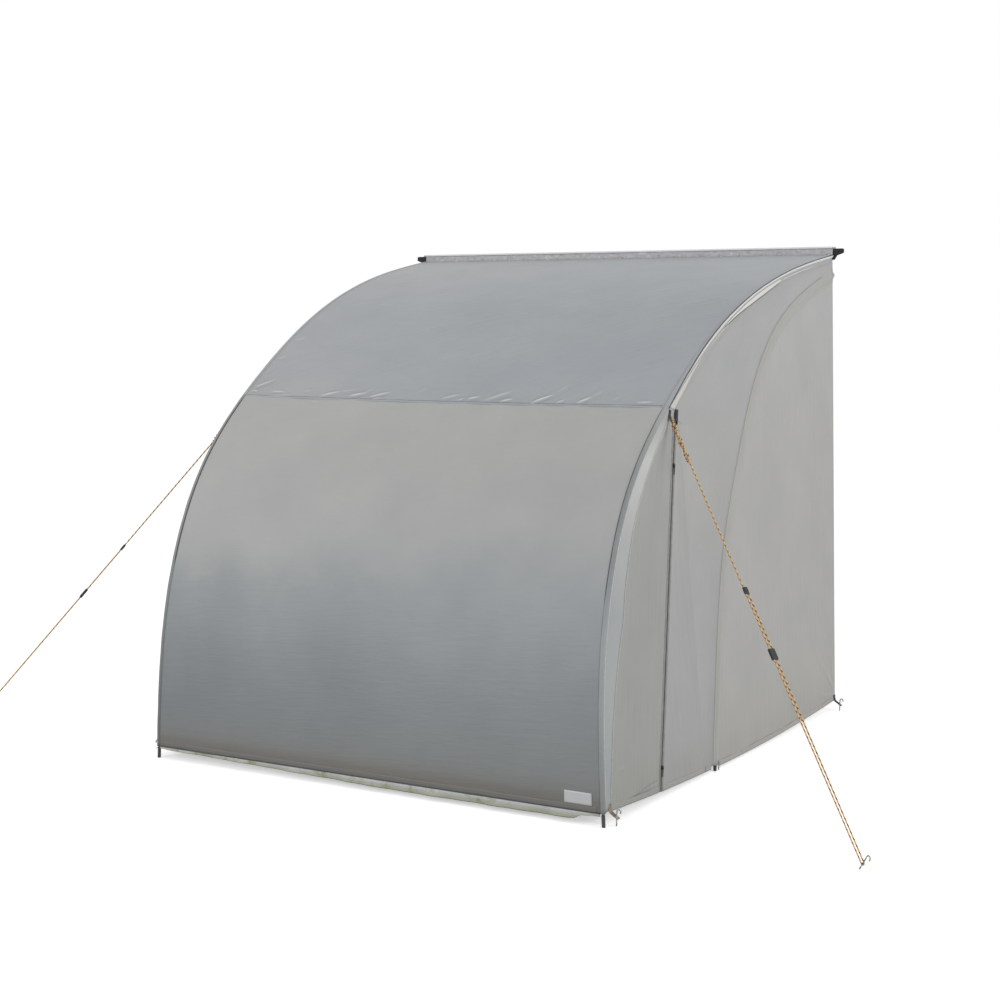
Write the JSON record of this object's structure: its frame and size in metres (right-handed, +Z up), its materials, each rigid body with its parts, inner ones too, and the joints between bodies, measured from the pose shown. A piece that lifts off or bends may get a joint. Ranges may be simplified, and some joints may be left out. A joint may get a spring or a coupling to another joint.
{
  "type": "bicycle storage tent",
  "caption": "Lean-to storage tent with a curved roof, bent jointed poles in sleeves, a zipped side door, a keder edge for an awning rail, pegs and guy ropes.",
  "frame": {"origin": "on the ground, at the middle of the tent's footprint without its guy ropes", "axes": "+Z up, +Y towards the vehicle the tent hangs from, +X to the right-hand side seen from the front"},
  "size_m": [3.5534, 2.4109, 2.0799],
  "materials": {
    "roof_cloth": "silver-grey coated polyester",
    "front_cloth": "silver-grey coated polyester",
    "wall_cloth": "silver-grey coated polyester",
    "sleeve_cloth": "pale grey coated polyester",
    "keder_cloth": "white coated cloth",
    "keder_bead": "white soft plastic",
    "mud_flap_cloth": "white coated cloth, dirty",
    "pole": "black glass fibre",
    "zip_tape": "woven tape with a plastic coil",
    "zip_metal": "dark enamelled metal",
    "webbing": "black webbing",
    "peg_steel": "zinc-plated wire",
    "guy_rope": "braided, yellow-orange with dark flecks",
    "runner_plastic": "black nylon"
  },
  "bodies": {
    "tent": {"front_mud_flap": "mud_flap_cloth", "front_panel": "front_cloth", "front_peg_left": "peg_steel", "front_peg_right": "peg_steel", "front_pole_left_section_1": "pole", "front_pole_left_section_2": "pole", "front_pole_left_section_3": "pole", "front_pole_left_section_4": "pole", "front_pole_left_section_foot": "pole", "front_pole_right_section_1": "pole", "front_pole_right_section_2": "pole", "front_pole_right_section_3": "pole", "front_pole_right_section_4": "pole", "front_pole_right_section_foot": "pole", "front_sleeve_left": "sleeve_cloth", "front_sleeve_right": "sleeve_cloth", "front_strip_right": "wall_cloth", "front_tab_left": "webbing", "front_tab_right": "webbing", "front_wall_left": "wall_cloth", "guy_peg_left": "peg_steel", "guy_peg_right": "peg_steel", "guy_rope_left": "guy_rope", "guy_rope_right": "guy_rope", "guy_tab_left": "webbing", "guy_tab_right": "webbing", "keder_bead": "keder_bead", "keder_strip": "keder_cloth", "mid_peg_left": "peg_steel", "mid_peg_right": "peg_steel", "mid_pole_left_section_1": "pole", "mid_pole_left_section_2": "pole", "mid_pole_left_section_3": "pole", "mid_pole_left_section_foot": "pole", "mid_pole_right_section_1": "pole", "mid_pole_right_section_2": "pole", "mid_pole_right_section_3": "pole", "mid_pole_right_section_foot": "pole", "mid_sleeve_left": "sleeve_cloth", "mid_sleeve_right": "sleeve_cloth", "mid_wall_right": "wall_cloth", "rail_end_tab_left": "webbing", "rail_end_tab_right": "webbing", "rear_peg_left": "peg_steel", "rear_peg_right": "peg_steel", "rear_tab_left": "webbing", "rear_tab_right": "webbing", "rear_wall_left": "wall_cloth", "rear_wall_right": "wall_cloth", "roof_panel": "roof_cloth", "zip_tape_front": "zip_tape"},
    "door": {"door_flap": "wall_cloth", "zip_tape_door": "zip_tape"},
    "upper_slider": {"zip_slider_upper": "zip_metal"},
    "upper_pull": {"zip_pull_upper": "zip_metal"},
    "lower_slider": {"zip_slider_lower": "zip_metal"},
    "lower_pull": {"zip_pull_lower": "zip_metal"},
    "right_runner": {"guy_runner_right": "runner_plastic"},
    "left_runner": {"guy_runner_left": "runner_plastic"}
  },
  "joints": [
    {"name": "door_fold", "type": "hinge", "parent": "tent", "child": "door", "pos_m": [0.98334, -0.30648, 0.01283], "axis": [-0.0582, -0.1535, 0.9864], "range_deg": [0, 110]},
    {"name": "upper_slider_slide", "type": "slide", "parent": "door", "child": "upper_slider", "axis": [-0.0328, 0.1156, 0.9928], "range_m": [-0.45, 0.13]},
    {"name": "upper_pull_swing", "type": "hinge", "parent": "upper_slider", "child": "upper_pull", "pos_m": [0.91386, -0.55716, 1.16106], "axis": [-0.0994, -0.9887, 0.1119], "range_deg": [0, 170]},
    {"name": "lower_slider_slide", "type": "slide", "parent": "door", "child": "lower_slider", "axis": [-0.0328, 0.1156, 0.9928], "range_m": [-0.045, 0.45]},
    {"name": "lower_pull_swing", "type": "hinge", "parent": "lower_slider", "child": "lower_pull", "pos_m": [0.94859, -0.67978, 0.10817], "axis": [-0.0994, -0.9887, 0.1119], "range_deg": [0, 170]},
    {"name": "right_runner_slide", "type": "slide", "parent": "tent", "child": "right_runner", "axis": [-0.5106, 0.3335, 0.7925], "range_m": [-0.58, 0.2]},
    {"name": "left_runner_slide", "type": "slide", "parent": "tent", "child": "left_runner", "axis": [0.5013, 0.3906, 0.7721], "range_m": [-0.58, 0.2]}
  ]
}
